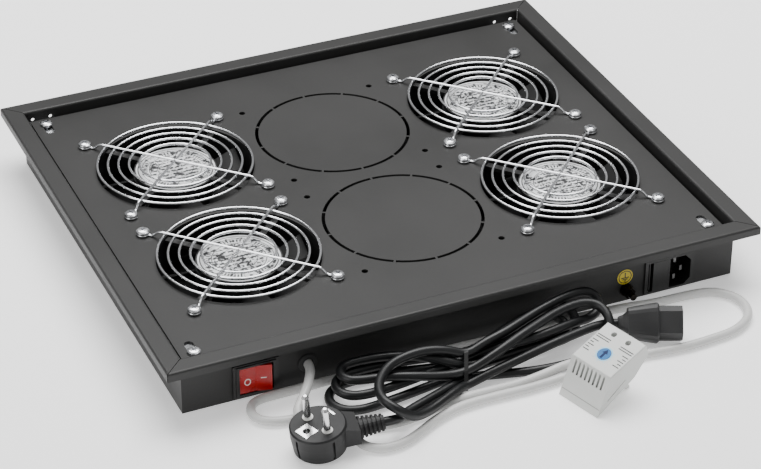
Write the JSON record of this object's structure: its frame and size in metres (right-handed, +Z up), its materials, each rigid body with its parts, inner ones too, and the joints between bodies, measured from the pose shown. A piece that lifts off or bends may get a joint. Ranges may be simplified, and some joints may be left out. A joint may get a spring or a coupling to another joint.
{
  "type": "rack fan tray",
  "caption": "Shallow steel rack tray with top fans under wire guards, spare knock-out bays, rear switch and mains inlet, thermostat on a cable and a coiled mains lead.",
  "frame": {"origin": "centre of the tray's base, on the plane it stands on, measured without the thermostat's cable and the mains lead", "axes": "+X along the long side of the tray, -Y out of the wall with the switch and the inlet, +Z up and out of the fan panel, the way the air leaves"},
  "size_m": [0.444, 0.475, 0.0445],
  "materials": {
    "powder_coat": "fine black powder coat, satin",
    "zinc": "bright zinc plate",
    "black_plastic": "moulded, satin",
    "rotor_plastic": "moulded, satin",
    "steel_shaft": "ground",
    "winding": "enamelled copper on a steel stack",
    "silver_label": "metallised paper, semi-matt",
    "guard_wire": "bright plated wire",
    "red_rocker": "moulded, glossy, translucent red",
    "contact_metal": "tinned",
    "pin_metal": "nickel plate",
    "fuse_glass": "clear tube with plated caps",
    "grommet_rubber": "soft, matt",
    "stud_brass": "dark, browned",
    "yellow_label": "self-adhesive, semi-gloss",
    "block_plastic": "moulded nylon",
    "wire_cover": "soft insulation",
    "white_cover": "soft insulation, satin",
    "stat_plastic": "moulded, fine matt",
    "blue_dial": "moulded, satin",
    "dark_plastic": "moulded, fine texture",
    "pale_plastic": "moulded ring",
    "lead_cover": "flexible sheath, satin",
    "tie_plastic": "flat twist tie"
  },
  "bodies": {
    "tray": {"cable_grommet": "grommet_rubber", "connector_body": "dark_plastic", "connector_sleeves": "contact_metal", "cord_connector_end": "lead_cover", "cord_hank": "lead_cover", "cord_plug_end": "lead_cover", "cord_tie": "tie_plastic", "corner_brackets": "zinc", "corner_screws": "zinc", "earth_label": "yellow_label", "earth_nut": "stud_brass", "earth_stud": "stud_brass", "earth_washers": "stud_brass", "fan_1_frame": "black_plastic", "fan_1_guard": "guard_wire", "fan_1_label": "silver_label", "fan_1_motor": "winding", "fan_2_frame": "black_plastic", "fan_2_guard": "guard_wire", "fan_2_label": "silver_label", "fan_2_motor": "winding", "fan_3_frame": "black_plastic", "fan_3_guard": "guard_wire", "fan_3_label": "silver_label", "fan_3_motor": "winding", "fan_4_frame": "black_plastic", "fan_4_guard": "guard_wire", "fan_4_label": "silver_label", "fan_4_motor": "winding", "fan_panel": "powder_coat", "guard_nuts": "zinc", "guard_screws": "zinc", "inlet_housing": "black_plastic", "inlet_pins": "pin_metal", "inner_wiring": "wire_cover", "plug_body": "dark_plastic", "plug_collars": "pale_plastic", "plug_earth": "pin_metal", "plug_pins": "pin_metal", "switch_housing": "black_plastic", "switch_terminals": "contact_metal", "terminal_block": "block_plastic", "thermostat_clip": "stat_plastic", "thermostat_contact": "contact_metal", "thermostat_housing": "stat_plastic", "thermostat_screws": "zinc", "tray_frame": "powder_coat", "white_cable": "white_cover"},
    "rotor_1": {"fan_1_rotor": "rotor_plastic", "fan_1_shaft": "steel_shaft"},
    "rotor_2": {"fan_2_rotor": "rotor_plastic", "fan_2_shaft": "steel_shaft"},
    "rotor_3": {"fan_3_rotor": "rotor_plastic", "fan_3_shaft": "steel_shaft"},
    "rotor_4": {"fan_4_rotor": "rotor_plastic", "fan_4_shaft": "steel_shaft"},
    "rocker": {"switch_rocker": "red_rocker"},
    "drawer": {"fuse_drawer": "black_plastic", "fuse": "fuse_glass"},
    "dial": {"thermostat_dial": "blue_dial"}
  },
  "joints": [
    {"name": "fan_1_spin", "type": "hinge", "parent": "tray", "child": "rotor_1", "pos_m": [-0.1253, 0.065, 0.0235], "axis": [0, 0, 1], "continuous": true},
    {"name": "fan_2_spin", "type": "hinge", "parent": "tray", "child": "rotor_2", "pos_m": [-0.1253, -0.065, 0.0235], "axis": [0, 0, 1], "continuous": true},
    {"name": "fan_3_spin", "type": "hinge", "parent": "tray", "child": "rotor_3", "pos_m": [0.1253, 0.065, 0.0235], "axis": [0, 0, 1], "continuous": true},
    {"name": "fan_4_spin", "type": "hinge", "parent": "tray", "child": "rotor_4", "pos_m": [0.1253, -0.065, 0.0235], "axis": [0, 0, 1], "continuous": true},
    {"name": "switch_rock", "type": "hinge", "parent": "tray", "child": "rocker", "pos_m": [-0.1562, -0.1711, 0.015], "axis": [0, 0, 1], "range_deg": [0, 16]},
    {"name": "fuse_drawer_slide", "type": "slide", "parent": "tray", "child": "drawer", "axis": [0, -1, 0], "range_m": [0, 0.01]},
    {"name": "dial_turn", "type": "hinge", "parent": "tray", "child": "dial", "pos_m": [0.05714, -0.26406, 0.03193], "axis": [-0.301, -0.095, 0.9489], "range_deg": [-30, 240]}
  ]
}
